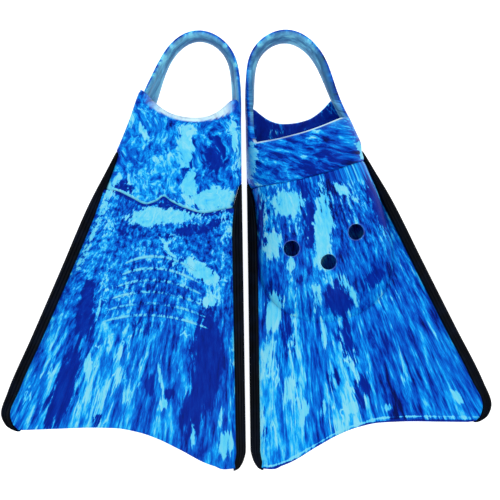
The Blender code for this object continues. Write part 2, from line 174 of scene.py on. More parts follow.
sole_low_z = through((-0.070, MID_Z - PANEL_THICK / 2), (0.0, MID_Z - PANEL_THICK / 2), (0.030, 0.0048),
                     (0.060, 0.0022), (0.085, 0.0004), (0.110, 0.0), (0.160, 0.0))
sole_high_z = through((-0.070, MID_Z + PANEL_THICK / 2), (0.0, MID_Z + PANEL_THICK / 2), (0.030, 0.0110),
                      (0.060, 0.0088), (0.085, 0.0068), (0.110, SOLE_THICK), (0.160, SOLE_THICK))
toe_box_right = through((-0.020, 0.1430), (0.002, 0.1450), (0.022, 0.1410), (0.057, 0.1320), (0.082, 0.1300))
pocket_top = through((-0.067, 0.0125), (-0.055, 0.0195), (-0.040, 0.0275), (-0.020, 0.0350), (0.0, 0.0412),
                     (0.030, 0.0485), (0.065, 0.0555), (0.108, POCKET_TOP_Z), (0.140, POCKET_TOP_Z))


def plate_left(y):
    """The sole's or blade's straight side, inside the rail where there is one."""
    beside_rail = smoothstep(INNER_RAIL_START + 0.001, INNER_RAIL_START - 0.002, y)
    return straight_edge(y) + inner_rail_width(y) * beside_rail


def plate_right(y):
    """The sole's or blade's flared side, inside the rail where there is one."""
    beside_rail = smoothstep(OUTER_RAIL_START + 0.001, OUTER_RAIL_START - 0.002, y)
    return flared_edge(y) - outer_rail_width(y) * beside_rail


def ball_of_foot(x, y):
    """How far the sole swells down under the ball of the foot."""
    return 0.0016 * math.exp(-((x - 0.070) / 0.045) ** 2 - ((y + 0.015) / 0.045) ** 2)


def heel_edge_y(x):
    """The open edge of the heel sole, which dips towards the toes in its middle."""
    return HEEL_EDGE_Y + 8.0 * (x - 0.042) ** 2


def rim_y(x):
    """The rim of the collar over the instep."""
    return 0.1038 + 2.8 * x * x


def seam_y(x):
    """The line between the collar and the toe box."""
    return 0.064 + 1.9 * x * x


# the line across the sole where the heel's compound was folded over the toe's
sole_seam_y = through((0.000, 0.047), (0.013, 0.048), (0.037, 0.044), (0.055, 0.049), (0.067, 0.055),
                      (0.074, 0.060), (0.080, 0.056), (0.090, 0.053), (0.105, 0.060), (0.118, 0.066),
                      (0.140, 0.068))


def pocket_walls(y, inset):
    """Both walls of the pocket at y, inset from its outside. They close in a round nose."""
    wide_y = max(y, NOSE_START_Y)
    left = plate_left(wide_y) + WALL_GAP + inset
    right = plate_right(wide_y) - WALL_GAP
    if y < TOE_BOX_FREE_Y:
        right = min(right, toe_box_right(wide_y))
    right -= inset
    if y < NOSE_START_Y:
        run = (NOSE_START_Y - y) / (NOSE_START_Y - NOSE_Y - TOP_INSET * inset)
        width = math.sqrt(max(1.0 - run * run, 0.0))
        left = mix(NOSE_X, left, width)
        right = mix(NOSE_X, right, width)
    return left, right


def arch_point(angle, y, inset=0.0):
    """Point of the pocket's vault: angle 0 is the straight side's base, pi the flared side's."""
    left, right = pocket_walls(y, inset)
    base = sole_high_z(y) - BASE_LAP
    rim_power = STRAIGHT_RIM_POWER if angle < math.pi / 2 else FLARED_RIM_POWER
    power = mix(ARCH_POWER, rim_power, smoothstep(TOE_BOX_FREE_Y, 0.115, y))
    across = math.copysign(abs(math.cos(angle)) ** (2 / power), math.cos(angle))
    up = abs(math.sin(angle)) ** (2 / power)
    x = (left + right) / 2 - across * (right - left) / 2
    height = max(pocket_top(y) - TOP_INSET * inset - base, 0.0002)
    return Vector((x, y, base + up * height))


# ---------------------------------------------------------------- mesh helpers
def new_object(name, bm):
    bmesh.ops.recalc_face_normals(bm, faces=bm.faces)
    mesh = bpy.data.meshes.new(name)
    bm.to_mesh(mesh)
    bm.free()
    obj = bpy.data.objects.new(name, mesh)
    bpy.context.scene.collection.objects.link(obj)
    return obj


def grid_faces(bm, grid):
    for row, following in zip(grid, grid[1:]):
        for i in range(len(row) - 1):
            bm.faces.new((row[i], following[i], following[i + 1], row[i + 1]))


def loft(sections):
    """Closed solid through closed sections of equal point counts, with fans for its caps."""
    bm = bmesh.new()
    rings = [[bm.verts.new(point) for point in section] for section in sections]
    for ring, following in zip(rings, rings[1:]):
        for i in range(len(ring)):
            k = (i + 1) % len(ring)
            bm.faces.new((ring[i], ring[k], following[k], following[i]))
    for ring in (rings[0], rings[-1]):
        cap = bm.faces.new(ring)
        bmesh.ops.triangulate(bm, faces=[cap])
    return bm


def apply_modifiers(obj):
    """Bakes the modifiers into the mesh."""
    evaluated = obj.evaluated_get(bpy.context.evaluated_depsgraph_get())
    mesh = bpy.data.meshes.new_from_object(evaluated)
    old = obj.data
    obj.modifiers.clear()
    obj.data = mesh
    bpy.data.meshes.remove(old)


def subdivide(obj, levels):
    modifier = obj.modifiers.new("smooth", "SUBSURF")
    modifier.levels = levels
    modifier.render_levels = levels


def coordinates(obj):
    co = np.empty(len(obj.data.vertices) * 3)
    obj.data.vertices.foreach_get("co", co)
    return co.reshape(-1, 3)


def finish_piece(obj, side, material, kind, sharp_degrees=50):
    """Stores the shader's attributes on the mesh at its place in the fin frame, then moves it to its own."""
    mesh = obj.data
    co = coordinates(obj)
    place = mesh.attributes.new("fin_place", "FLOAT_VECTOR", "POINT")
    place.data.foreach_set("vector", co.astype(np.float32).ravel())
    if kind != "rail":
        marble_attributes(mesh, co, side, kind)
    mesh.transform(PLACEMENTS[side])
    mesh.materials.clear()
    mesh.materials.append(material)
    mesh.shade_smooth()
    mesh.set_sharp_from_angle(angle=math.radians(sharp_degrees))
    obj.name = f"{side}_{obj.name}"


def world(side, point):
    return tuple(PLACEMENTS[side] @ Vector(point))


def bend_with_blade(obj, side):
    world(side, (0.1, BEND_Y + BLADE_BEND_REACH, MID_Z))
    world(side, (0.1, BEND_Y - BLADE_BEND_REACH, MID_Z))
    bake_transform(obj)


# ---------------------------------------------------------------- pieces
WALL_COLUMNS = 7             # columns of the pocket's mesh up each wall
CROWN_COLUMNS = 11           # and over its crown
WALL_TOP = 0.60              # share of the vault's height that its walls take
WALL_HIGH_Z = 0.0440         # up to here the collar's back edge is the strap's root
RIM_LOW_Z = 0.0530           # and from here it is the rim of the opening
COLLAR_ROWS = 8
TOE_BOX_ROWS = 20
STRAP_ROWS = 34
BLADE_COLUMNS, BLADE_ROWS = 100, 110
HEEL_COLUMNS, HEEL_ROWS = 72, 56
RAIL_ROWS = 110
HEEL_CORNER = 0.0052         # radius under the pocket's walls
RIB_COUNT = 6
RIB_FIRST_Y, RIB_LAST_Y = 0.004, -0.052
RIB_FIRST_ENDS_X = (0.046, 0.112)
RIB_LAST_ENDS_X = (0.036, 0.136)
RIB_RADIUS = 0.0013
RIM_RADIUS = 0.0005          # of the lip round each drain hole
# points across a rail's face: place as a share of the face's width, and depth under the rail's top
RAIL_GROOVES = [(0.36, 0.0), (0.27, 0.0004), (0.18, 0.0), (-0.18, 0.0), (-0.27, 0.0004), (-0.36, 0.0)]
BLADE_BEND_REACH = 0.030     # distance to each side of the blade's bend line
STRAP_BEND_Y = (0.130, 0.178)
STRAP_START_Y = 0.128        # the strap's root on the pocket's walls
STRAP_HIGH_FREE_Y = 0.185    # past here the strap's upper edge has its own height
STRAP_LOW_FREE_Y = 0.190     # and past here its lower edge has
STRAIGHT_LOW_LEAVE_Y = 0.138   # where the lower edge starts to leave the straight side's wall
FLARED_LOW_LEAVE_Y = 0.150     # and the flared side's
STRAP_MIDDLE_X = 0.045
LOOP_MIDDLE = (0.046, 0.155)
# middle line of the strap in plan, from its root on the straight side to the one on the flared side
STRAP_ROUTE = [(0.0018, 0.128), (0.0016, 0.150), (0.0030, 0.1715), (0.0068, 0.1870), (0.0160, 0.2000),
               (0.0290, 0.2080), (0.0410, 0.2100), (0.0530, 0.2072), (0.0655, 0.1985), (0.0752, 0.1858),
               (0.0823, 0.1715), (0.0920, 0.150), (0.1032, 0.128)]


def arch_angles():
    """Angles of the pocket's columns: about even in height up both walls, even in turn over the crown."""
    wall = [math.asin((WALL_TOP * k / (WALL_COLUMNS - 1)) ** (ARCH_POWER / 2)) for k in range(WALL_COLUMNS)]
    crown = steps(wall[-1], math.pi - wall[-1], CROWN_COLUMNS + 2)[1:-1]
    return wall + crown + [math.pi - angle for angle in reversed(wall)]


def spline(points, s_values):
    """Points along a natural cubic spline through the given points, at fractions of its length."""
    pts = np.array(points, float)
    knots = np.concatenate(([0.0], np.cumsum(np.linalg.norm(np.diff(pts, axis=0), axis=1))))
    n = len(knots)
    h = np.diff(knots)
    system = np.eye(n)
    rhs = np.zeros((n, pts.shape[1]))
    for i in range(1, n - 1):
        system[i, i - 1:i + 2] = h[i - 1], 2 * (h[i - 1] + h[i]), h[i]
        rhs[i] = 6 * ((pts[i + 1] - pts[i]) / h[i] - (pts[i] - pts[i - 1]) / h[i - 1])
    bend = np.linalg.solve(system, rhs)
    at = np.asarray(s_values, float) * knots[-1]
    i = np.clip(np.searchsorted(knots, at, side="right") - 1, 0, n - 2)
    a = ((knots[i + 1] - at) / h[i])[:, None]
    b = ((at - knots[i]) / h[i])[:, None]
    step = (h[i] ** 2 / 6)[:, None]
    return a * pts[i] + b * pts[i + 1] + ((a**3 - a) * bend[i] + (b**3 - b) * bend[i + 1]) * step


def make_collar_and_strap(side, material):
    """The soft collar over the instep, running on into the loop behind the heel."""
    angles = arch_angles()
    bm = bmesh.new()
    rim = bm.verts.layers.float.new("rim")
    rows = []
    for v in steps(1.0, 0.0, COLLAR_ROWS):
        row = []
        for angle in angles:
            y = 0.100
            for _ in range(10):
                point = arch_point(angle, y)
                wall = smoothstep(RIM_LOW_Z, WALL_HIGH_Z, point.z)
                back = mix(rim_y(point.x), STRAP_START_Y, wall)
                y = mix(seam_y(point.x) + 0.0001, back, v)
            row.append(bm.verts.new(point))
            row[-1][rim] = 1.0 - wall if v == 1.0 else 0.0
        rows.append(row)
    grid_faces(bm, rows)

    left_root = rows[0][:WALL_COLUMNS]
    right_root = rows[0][:-WALL_COLUMNS - 1:-1]
    route = spline(STRAP_ROUTE, steps(0.0, 1.0, STRAP_ROWS))
    strap_rows = [left_root]
    for i in range(1, STRAP_ROWS - 1):
        here = Vector(route[i])
        direction = Vector(route[i + 1] - route[i - 1]).normalized()
        inward = Vector((direction.y, -direction.x))
        root, low_leave_y = left_root, STRAIGHT_LOW_LEAVE_Y
        if here.x >= STRAP_MIDDLE_X:
            root, low_leave_y = right_root, FLARED_LOW_LEAVE_Y
        low = STRAP_HINGE_Z - STRAP_HALF_HEIGHT
        high = STRAP_HINGE_Z + STRAP_HALF_HEIGHT
        row = []
        for k in range(WALL_COLUMNS):
            share = k / (WALL_COLUMNS - 1)
            near_low = smoothstep(STRAP_LOW_FREE_Y, low_leave_y, here.y)
            near_high = smoothstep(STRAP_HIGH_FREE_Y, STRAP_START_Y, here.y)
            near = mix(near_low, near_high, share)
            z = mix(mix(low, high, share), root[k].co.z, near)
            lean = near * abs(root[k].co.x - root[0].co.x)
            plan = here + inward * lean
            row.append(bm.verts.new((plan.x, plan.y, z)))
        strap_rows.append(row)
    strap_rows.append(right_root)
    for row, following in zip(strap_rows, strap_rows[1:]):
        for i in range(WALL_COLUMNS - 1):
            bm.faces.new((row[i], row[i + 1], following[i + 1], following[i]))
    obj = new_object("collar_and_strap", bm)
    # the open sheet has to face outwards before it is thickened
    top = max(obj.data.polygons, key=lambda face: face.center.z)
    if top.normal.z < 0:
        obj.data.flip_normals()
    wall = obj.modifiers.new("wall", "SOLIDIFY")
    wall.thickness = POCKET_WALL
    wall.offset = -1.0
    wall.use_even_offset = True
    wall.edge_crease_rim = 0.35
    subdivide(obj, 2)
    apply_modifiers(obj)
    crown_strap(obj)
    finish_piece(obj, side, material, "pocket")
    world(side, (STRAP_MIDDLE_X, STRAP_BEND_Y[0], STRAP_HINGE_Z))
    world(side, (STRAP_MIDDLE_X, STRAP_BEND_Y[1], STRAP_HINGE_Z))
    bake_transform(obj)
    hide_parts(f"{side}_instep_collar", f"{side}_heel_strap")


def loop_facing(mesh, co):
    """How squarely each vertex of the strap faces the middle of its loop, and the vertex normals."""
    normals = np.empty(len(mesh.vertices) * 3, np.float32)
    mesh.vertex_normals.foreach_get("vector", normals)
    normals = normals.reshape(-1, 3)
    to_middle = np.array(LOOP_MIDDLE) - co[:, :2]
    to_middle /= np.linalg.norm(to_middle, axis=1)[:, None]
    return (normals[:, :2] * to_middle).sum(axis=1), normals


def crown_strap(obj):
    """Swells the strap's inner face, so that it is thickest along its middle."""
    co = coordinates(obj)
    facing, normals = loop_facing(obj.data, co)
    height = np.clip((co[:, 2] - STRAP_HINGE_Z) / STRAP_HALF_HEIGHT, -1.0, 1.0)
    swell = STRAP_CROWN * (1 - height**2) * smoothstep(0.2, 0.8, facing) * smoothstep(0.122, 0.150, co[:, 1])
    co += normals * swell[:, None]
    obj.data.vertices.foreach_set("co", co.ravel())
    obj.data.update()


def make_toe_box(side, material):
    """The vault over the toes with its three drain holes."""
    angles = arch_angles()

    def rows(inset):
        grid = []
        front_y = NOSE_Y + TOP_INSET * inset + 0.0001
        for v in steps(0.0, math.pi / 2, TOE_BOX_ROWS):
            row = []
            for angle in angles:
                y = 0.0
                for _ in range(10):
                    point = arch_point(angle, y, inset)
                    y = mix(seam_y(point.x) + 0.0015, front_y, math.sin(v))
                row.append(point)
            grid.append(row)
        return grid

    bm = bmesh.new()
    outer = [[bm.verts.new(point) for point in row] for row in rows(SEAM_STEP)]
    inner = [[bm.verts.new(point) for point in row] for row in rows(TOE_WALL)]
    grid_faces(bm, outer)
    grid_faces(bm, inner)
    for k in (0, -1):
        for i in range(len(outer[0]) - 1):
            bm.faces.new((outer[k][i], outer[k][i + 1], inner[k][i + 1], inner[k][i]))
        for i in range(len(outer) - 1):
            bm.faces.new((outer[i][k], outer[i + 1][k], inner[i + 1][k], inner[i][k]))
    crease = bm.edges.layers.float.new("crease_edge")
    for edge in bm.edges:
        if edge.calc_face_angle(0.0) > 1.0:
            edge[crease] = 0.6
    obj = new_object("toe_box", bm)
    subdivide(obj, 2)
    apply_modifiers(obj)
    cutters = []
    for x, y in DRAIN_CENTRES:
        bpy.ops.mesh.primitive_cylinder_add(vertices=64, radius=DRAIN_RADIUS, depth=0.06,
                                            location=(x, y, 0.045))
        cutter = bpy.context.object
        cutters.append(cutter)
        modifier = obj.modifiers.new("drain", "BOOLEAN")
        modifier.operation = "DIFFERENCE"
        modifier.object = cutter
    apply_modifiers(obj)
    for cutter in cutters:
        bpy.data.objects.remove(cutter, do_unlink=True)
    finish_piece(obj, side, material, "toe_box")
    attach(obj, f"{side}_foot")
    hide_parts(f"{side}_toe_box")


def slab_column(x_of, ys, top_of, bottom_of, edge):
    """Closed column of a slab: its top, its round edge, then its bottom back again."""
    column = [(x_of(y), y, top_of(x_of(y), y)) for y in ys]
    column += edge
    column += [(x_of(y), y, bottom_of(x_of(y), y)) for y in reversed(ys)]
    return column


def seam_start(x_of):
    """Where a column of the sole meets the seam between the heel and the toes."""
    y = 0.055
    for _ in range(12):
        y = sole_seam_y(x_of(y))
    return y


def quarter_round(distance, radius):
    """Rises from 0 to 1 over the radius, like the round shoulder of a step."""
    left = 1.0 - min(max(distance / radius, 0.0), 1.0)
    return math.sqrt(max(1.0 - left * left, 0.0))


def blade_edge_distance(x, y, end_y):
    """Distance to the trailing edge or, near the flared corner, to the outer rail."""
    return min(y - end_y, plate_right(y) - x + 0.30 * max(y + 0.150, 0.0))


def make_blade(side, material):
    """The sole under the toes and the blade, one continuous panel out to the trailing edge."""
    left_end = plate_left(-0.2062) + 0.0012
    right_end = plate_right(-0.1640)
    half = PANEL_TIP_THICK / 2
    columns = []
    for u in steps(0.0, 1.0, BLADE_COLUMNS):
        end_x = mix(left_end, right_end, u)
        end_y = trailing_edge(end_x)

        def x_of(y, u=u):
            return mix(plate_left(y) - 0.0004, plate_right(y) + 0.0004, u)

        start_y = seam_start(x_of)
        ys = [mix(start_y, end_y + half, v) for v in steps(0.0, 1.0, BLADE_ROWS)]

        def fillet(x, y):
            to_rail = min(x - plate_left(y), plate_right(y) - x)
            return 0.0022 * smoothstep(0.0050, -0.001, to_rail) ** 2

        def top(x, y, end_y=end_y):
            middle = sole_high_z(y) if y > BEND_Y else MID_Z + panel_half_thick(y)
            to_edge = blade_edge_distance(x, y, end_y)
            border = 0.0009 * smoothstep(0.0068, 0.0056, to_edge) * smoothstep(0.0004, 0.0030, to_edge)
            return middle + fillet(x, y) + border

        def bottom(x, y):
            middle = sole_low_z(y) if y > BEND_Y else MID_Z - panel_half_thick(y)
            return middle - fillet(x, y) - ball_of_foot(x, y)

        edge = []
        for turn in (45, 0, -45):
            turn = math.radians(turn)
            edge.append((x_of(end_y), end_y + half - half * math.cos(turn), MID_Z + half * math.sin(turn)))
        columns.append(slab_column(x_of, ys, top, bottom, edge))
    obj = new_object("blade", loft(columns))
    finish_piece(obj, side, material, "blade")
    bend_with_blade(obj, side)
    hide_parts(f"{side}_toe_sole", f"{side}_blade_panel")


def make_heel_sole(side, material):
    """The sole under the arch and heel, with a round heel lip and round corners under the walls."""
    columns = []
    for u in steps(0.0, 1.0, HEEL_COLUMNS):
        def x_of(y, u=u):
            return mix(plate_left(y) + 0.0001, plate_right(y) - 0.0001, u)

        end_y = 0.140
        for _ in range(12):
            end_y = mix(end_y, heel_end_y(x_of(end_y)), 0.6)
        start_y = seam_start(x_of) + 0.0002
        ys = [mix(start_y, end_y - SOLE_THICK / 2, v) for v in steps(0.0, 1.0, HEEL_ROWS)]

        def bottom(x, y, start_y=start_y):
            to_edge = min(x - plate_left(y), plate_right(y) - x)
            drop = max(HEEL_CORNER - max(to_edge, 0.0), 0.0)
            step = HEEL_STEP * quarter_round(y - start_y, 0.0022) * smoothstep(0.085, 0.060, y)
            lift = HEEL_CORNER - math.sqrt(HEEL_CORNER**2 - drop**2)
            return sole_low_z(y) - step + lift * 0.98

        edge = []
        low = bottom(x_of(end_y), end_y)
        for turn in (55, 20, -20, -55):
            turn = math.radians(turn)
            edge.append((x_of(end_y), end_y - SOLE_THICK / 2 * (1 - math.cos(turn)),
                         mix(low, SOLE_THICK, 0.5 + 0.5 * math.sin(turn))))
        columns.append(slab_column(x_of, ys, lambda x, y: sole_high_z(y), bottom, edge))
    obj = new_object("heel_sole", loft(columns))
    finish_piece(obj, side, material, "heel")
    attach(obj, f"{side}_foot")
    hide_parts(f"{side}_heel_sole")


def heel_end_y(x):
    """The open heel edge, which turns forward again in a round corner at each side."""
    left, right = straight_edge(0.14), flared_edge(0.145)
    to_side = min(x - left, right - x)
    rise = 0.013 * max(1.0 - to_side / 0.036, 0.0) ** 2
    return heel_edge_y(x) + rise - 0.022 * (1.0 - quarter_round(to_side, 0.012))


def rail_section(left, right, y, half_height):
    """Rounded section of a rail with two shallow grooves along its top and bottom."""
    width = right - left
    middle = (left + right) / 2
    soft = min(0.0024, width * 0.35, half_height * 0.5)
    section = []
    for corner_x, corner_z, start in ((right, 1, 0), (left, 1, 90), (left, -1, 180), (right, -1, 270)):
        centre_x = corner_x + (soft if corner_x == left else -soft)
        for degrees in (0, 22, 45, 67, 90):
            turn = math.radians(start + degrees)
            section.append((centre_x + soft * math.cos(turn), y,
                            MID_Z + corner_z * (half_height - soft) + soft * math.sin(turn)))
        if start in (0, 180):
            sign = 1 if start == 0 else -1
            for share, depth in RAIL_GROOVES:
                x = middle + sign * share * (width - 2 * soft)
                section.append((x, y, MID_Z + sign * (half_height - depth)))
    return section


def make_rail(side, name, start_y, end_y, walls, material):
    """A rail from the pocket to the blade's tip, round at its start."""
    sections = []
    for v in steps(0.0, 1.0, RAIL_ROWS):
        y = mix(start_y, end_y, 0.5 - 0.5 * math.cos(v * math.pi))
        closing = 0.35 + 0.65 * quarter_round(start_y - y, 0.014)
        sections.append(rail_section(*walls(y), y, rail_half_height(y) * closing))
    obj = new_object(f"{name}_rail", loft(sections))
    finish_piece(obj, side, material, "rail", 35)
    bend_with_blade(obj, side)
    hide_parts(f"{side}_{name}_rail_root", f"{side}_{name}_rail_tip")


def outer_walls(y):
    """Both sides of the flared side's rail at y."""
    return flared_edge(y) - outer_rail_width(y), flared_edge(y)


def inner_walls(y):
    """Both sides of the straight side's rail at y."""
    return straight_edge(y), straight_edge(y) + inner_rail_width(y)


def tube(path, radii, sides=8):
    """Round tube along a path of points, closed at both ends."""
    sections = []
    for i, point in enumerate(path):
        ahead = (path[min(i + 1, len(path) - 1)] - path[max(i - 1, 0)]).normalized()
        across = ahead.cross(Vector((0, 0, 1))).normalized()
        up = across.cross(ahead)
        sections.append([point + (across * math.cos(turn) + up * math.sin(turn)) * radii[i]
                         for turn in steps(0.0, 2 * math.pi, sides + 1)[:-1]])
    return sections


def join_lofts(all_sections, ring=False):
    """One mesh of several lofts."""
    joined = bmesh.new()
    for sections in all_sections:
        base = len(joined.verts)
        for section in sections:
            for point in section:
                joined.verts.new(point)
        joined.verts.ensure_lookup_table()
        count = len(sections[0])
        last = len(sections) if ring else len(sections) - 1
        for row in range(last):
            following = (row + 1) % len(sections)
            for i in range(count):
                k = (i + 1) % count
                corners = (row * count + i, row * count + k, following * count + k, following * count + i)
                joined.faces.new([joined.verts[base + corner] for corner in corners])
        if not ring:
            for row in (0, len(sections) - 1):
                joined.faces.new([joined.verts[base + row * count + i] for i in range(count)])
    return joined


def make_grip_ribs(side, material):
    """Plain curved ribs under the ball of the foot, moulded with the sole."""
    ribs = []
    for number in range(RIB_COUNT):
        share = number / (RIB_COUNT - 1)
        middle_y = mix(RIB_FIRST_Y, RIB_LAST_Y, share)
        left = mix(RIB_FIRST_ENDS_X[0], RIB_LAST_ENDS_X[0], share)
        right = mix(RIB_FIRST_ENDS_X[1], RIB_LAST_ENDS_X[1], share)
        path = []
        for t in steps(-1.0, 1.0, 36):
            x = mix(left, right, (t + 1) / 2)
            y = middle_y - 0.010 * t * t + 0.004 * t
            path.append(Vector((x, y, sole_low_z(y) - ball_of_foot(x, y))))
        radii = [RIB_RADIUS * math.sqrt(max(1.0 - abs(t) ** 6, 0.04)) for t in steps(-1.0, 1.0, 36)]
        ribs.append(tube(path, radii))
    obj = new_object("grip_ribs", join_lofts(ribs))
    finish_piece(obj, side, material, "rib")
    bend_with_blade(obj, side)


def vault_z(x, y):
    """Height of the toe box's outside over a point of the plan."""
    left, right = pocket_walls(y, SEAM_STEP)
    share = min(abs((x - (left + right) / 2) / ((right - left) / 2)), 1.0)
    up = (1.0 - share**ARCH_POWER) ** (1 / ARCH_POWER)
    base = sole_high_z(y) - BASE_LAP
    return base + up * (pocket_top(y) - TOP_INSET * SEAM_STEP - base)


def make_drain_rims(side, material):
    """The thin raised lip round each drain hole."""
    rims = []
    for centre_x, centre_y in DRAIN_CENTRES:
        path = []
        for turn in steps(0.0, 2 * math.pi, 49)[:-1]:
            x = centre_x + (DRAIN_RADIUS + 0.0003) * math.cos(turn)
            y = centre_y + (DRAIN_RADIUS + 0.0003) * math.sin(turn)
            path.append(Vector((x, y, vault_z(x, y) - 0.0003)))
        sections = []
        for point in path:
            outward = Vector((point.x - centre_x, point.y - centre_y, 0.0)).normalized() * RIM_RADIUS
            upward = Vector((0.0, 0.0, RIM_RADIUS))
            sections.append([point + outward * math.cos(turn) + upward * math.sin(turn)
                             for turn in steps(0.0, 2 * math.pi, 9)[:-1]])
        rims.append(sections)
    obj = new_object("drain_rims", join_lofts(rims, ring=True))
    finish_piece(obj, side, material, "rim")
    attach(obj, f"{side}_foot")


# ---------------------------------------------------------------- marbling, laid out in the fin frame
# Patches of the pale and of the navy compound: middle (x, y), half width, half length, the angle in
# degrees by which the long axis leans to the flared side as it runs to the blade tip, and strength.
PALE_PATCHES = {
    "left": [
        (0.053, 0.103, 0.008, 0.018, 0, 1.0), (0.050, 0.076, 0.006, 0.018, 0, 0.9),
        (0.030, 0.059, 0.020, 0.010, 0, 1.0), (0.075, 0.041, 0.008, 0.034, 88, 1.0),
        (0.090, 0.117, 0.003, 0.009, -30, 0.9), (0.007, 0.113, 0.003, 0.016, 0, 0.9),
        (0.074, 0.014, 0.002, 0.016, -30, 0.8), (0.045, -0.010, 0.007, 0.020, -57, 1.0),
        (0.034, -0.042, 0.012, 0.006, 0, 0.7), (0.140, -0.045, 0.002, 0.015, 10, 0.8),
        (0.152, -0.100, 0.003, 0.015, 8, 0.9), (0.082, -0.115, 0.002, 0.020, 3, 0.7),
        (0.080, -0.142, 0.004, 0.005, 0, 0.9), (0.020, -0.183, 0.006, 0.017, 0, 0.8),
        (0.054, -0.172, 0.002, 0.016, 3, 0.8), (0.206, -0.146, 0.006, 0.020, 22, 0.45),
        (0.150, -0.136, 0.010, 0.026, 12, 0.35), (0.120, -0.120, 0.010, 0.040, 8, 0.35),
        (0.110, 0.085, 0.006, 0.022, 25, 0.35), (0.095, -0.015, 0.024, 0.020, 0, 0.30),
        (0.105, 0.070, 0.010, 0.006, 60, 0.4), (0.022, -0.150, 0.004, 0.020, 5, 0.4),
    ],
    "right": [
        (0.040, 0.050, 0.013, 0.013, 0, 1.0), (0.073, 0.034, 0.009, 0.036, 2, 1.0),
        (0.086, 0.060, 0.006, 0.014, 50, 0.7), (0.007, 0.090, 0.006, 0.015, 0, 0.9),
        (0.110, 0.098, 0.006, 0.010, 20, 0.9), (0.028, 0.011, 0.008, 0.016, 0, 0.7),
        (0.046, -0.009, 0.004, 0.008, -5, 0.8), (0.025, -0.052, 0.010, 0.018, 0, 0.95),
        (0.020, -0.088, 0.006, 0.026, 0, 0.45), (0.070, -0.042, 0.006, 0.022, 0, 0.6),
        (0.101, -0.032, 0.006, 0.024, 32, 0.7), (0.076, -0.080, 0.004, 0.018, 5, 0.75),
        (0.054, -0.153, 0.004, 0.013, -3, 0.75), (0.072, -0.152, 0.004, 0.012, 0, 0.75),
        (0.104, -0.151, 0.007, 0.006, 0, 0.8), (0.139, -0.150, 0.005, 0.006, 0, 0.8),
        (0.208, -0.138, 0.004, 0.009, 35, 0.85), (0.090, 0.050, 0.016, 0.028, 12, 0.40),
        (0.046, 0.024, 0.016, 0.018, 0, 0.40), (0.055, 0.085, 0.012, 0.020, 35, 0.35),
        (0.036, -0.130, 0.008, 0.018, -10, 0.5), (0.150, -0.040, 0.010, 0.008, 40, 0.5),
        (0.100, -0.100, 0.004, 0.030, 20, 0.4), (0.165, -0.100, 0.020, 0.040, 25, 0.25),
    ],
}
NAVY_PATCHES = {
    "left": [
        (0.025, 0.101, 0.012, 0.022, 15, 0.75), (0.107, 0.070, 0.009, 0.008, 0, 0.9),
        (0.071, 0.051, 0.005, 0.014, 80, 1.0), (0.040, 0.034, 0.005, 0.036, 75, 0.9),
        (0.039, -0.102, 0.015, 0.052, 2, 1.0), (0.053, -0.152, 0.014, 0.024, 0, 0.9),
        (0.178, -0.125, 0.012, 0.044, 26, 1.0), (0.150, -0.048, 0.008, 0.032, 10, 0.85),
        (0.093, -0.122, 0.004, 0.014, 0, 0.9), (0.146, -0.155, 0.006, 0.010, 25, 0.9),
        (0.075, -0.133, 0.006, 0.006, 0, 0.9), (0.100, 0.030, 0.030, 0.010, 0, 0.35),
        (0.100, -0.065, 0.016, 0.012, 0, 0.55), (0.115, 0.100, 0.004, 0.010, 20, 0.8),
        (0.100, 0.158, 0.004, 0.020, 20, 0.9), (0.185, -0.070, 0.012, 0.040, 24, 0.35),
        (0.070, 0.000, 0.006, 0.020, -20, 0.6),
    ],
    "right": [
        (0.059, 0.030, 0.005, 0.024, 2, 0.95), (0.054, 0.060, 0.004, 0.010, -25, 0.8),
        (0.122, 0.048, 0.008, 0.034, 18, 0.85), (0.014, 0.032, 0.006, 0.034, 0, 0.75),
        (0.093, -0.043, 0.011, 0.020, 10, 1.0), (0.101, -0.088, 0.009, 0.030, 6, 0.8),
        (0.110, -0.131, 0.009, 0.018, 6, 0.75), (0.121, -0.024, 0.010, 0.011, 0, 0.8),
        (0.044, -0.087, 0.012, 0.026, -8, 0.65), (0.014, -0.165, 0.005, 0.026, 0, 0.75),
        (0.048, -0.128, 0.009, 0.012, -8, 0.65), (0.078, 0.092, 0.022, 0.010, 20, 0.45),
        (0.040, 0.080, 0.030, 0.016, 0, 0.30), (0.085, -0.125, 0.008, 0.016, 0, 0.6),
        (0.030, -0.110, 0.006, 0.020, -12, 0.5), (0.060, -0.020, 0.006, 0.014, -20, 0.5),
        (0.130, -0.080, 0.014, 0.020, 20, 0.4), (0.046, 0.108, 0.030, 0.006, 0, 0.2),
    ],
}


PATCH_SEED = 3
noise.seed_set(PATCH_SEED)   # a fixed seed gives the patches the same outlines on every run


def wander(x, y, level):
    """Smooth sideways shifts that make the patches' outlines irregular. Each level has its own."""
    shift = np.zeros((2, len(x)))
    for size, reach in ((0.060, 0.0050), (0.022, 0.0032), (0.009, 0.0013)):
        for i, (px, py) in enumerate(zip(x / size, y / size)):
            shift[:, i] += np.array(noise.noise_vector((px, py, level))[:2]) * reach
    return x + shift[0], y + shift[1]


def patch_field(patches, x, y):
    """Strength of the patches at every point: 1 inside them, and soft at their edges."""
    field = np.zeros_like(x)
    for middle_x, middle_y, half_width, half_length, lean, strength in patches:
        lean = math.radians(lean)
        along = (x - middle_x) * math.sin(lean) - (y - middle_y) * math.cos(lean)
        across = (x - middle_x) * math.cos(lean) + (y - middle_y) * math.sin(lean)
        distance = np.sqrt((along / half_length) ** 2 + (across / half_width) ** 2)
        field = np.maximum(field, strength * (1.0 - smoothstep(0.25, 1.75, distance)))
    return field


# how far along the compound's streaks a place is: they are long on the blade and short under the foot
along_streaks = {
    "left": through((-0.210, -0.021), (-0.070, 0.0), (-0.020, 0.0225), (0.070, 0.099)),
    "right": through((-0.210, -0.018), (-0.070, 0.0), (0.0, 0.014), (0.070, 0.044)),
}


